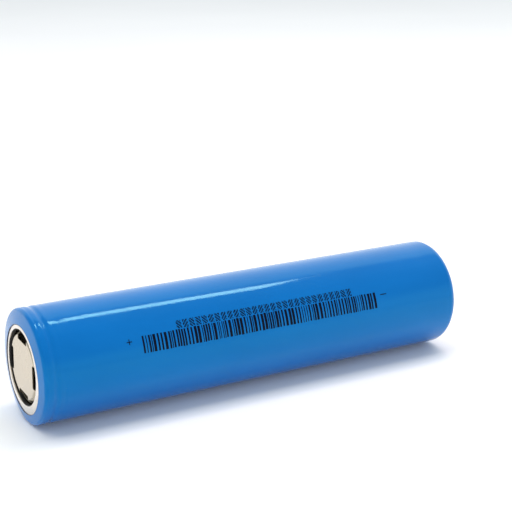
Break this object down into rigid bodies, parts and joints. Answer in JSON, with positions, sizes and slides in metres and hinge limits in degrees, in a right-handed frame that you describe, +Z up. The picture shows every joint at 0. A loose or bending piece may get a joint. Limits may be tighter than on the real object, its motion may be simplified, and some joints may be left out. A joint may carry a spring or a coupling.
{
  "type": "cylindrical battery cell",
  "caption": "Cylindrical lithium cell on its side: wound roll in a crimped steel can, recessed vented cap, glossy blue heat-shrink sleeve.",
  "frame": {"origin": "on the cell's axis, halfway along its length", "axes": "X along the cell's axis, with the positive end towards -X; +Z up as the cell lies on its side; printed marks face -Y"},
  "size_m": [0.14, 0.0334, 0.0334],
  "materials": {
    "blue_film": "glossy",
    "nickel_plated_steel": "satin",
    "black_plastic": "matte",
    "aluminium_sheet": "satin",
    "aluminium_foil": "bright",
    "copper_foil": "bright",
    "nickel_plated_copper": "satin",
    "cathode_coating": "matte",
    "anode_coating": "matte",
    "separator_film": "matte",
    "white_plastic": "satin",
    "green_tape": "satin"
  },
  "bodies": {
    "root": {"heat_shrink_sleeve": "blue_film", "steel_can": "nickel_plated_steel", "sealing_gasket": "black_plastic", "positive_cap": "nickel_plated_steel", "vent_disc": "aluminium_sheet", "isolation_ring": "white_plastic", "contact_disc": "aluminium_sheet", "positive_tab": "aluminium_sheet", "top_insulator": "white_plastic", "positive_collector": "aluminium_sheet", "positive_end_tape": "green_tape", "winding_tape": "green_tape", "negative_collector": "nickel_plated_copper", "anode_coating_inner": "anode_coating", "anode_foil": "copper_foil", "anode_coating_outer": "anode_coating", "separator_a": "separator_film", "cathode_coating_inner": "cathode_coating", "cathode_foil": "aluminium_foil", "cathode_coating_outer": "cathode_coating", "separator_b": "separator_film"}
  },
  "joints": []
}
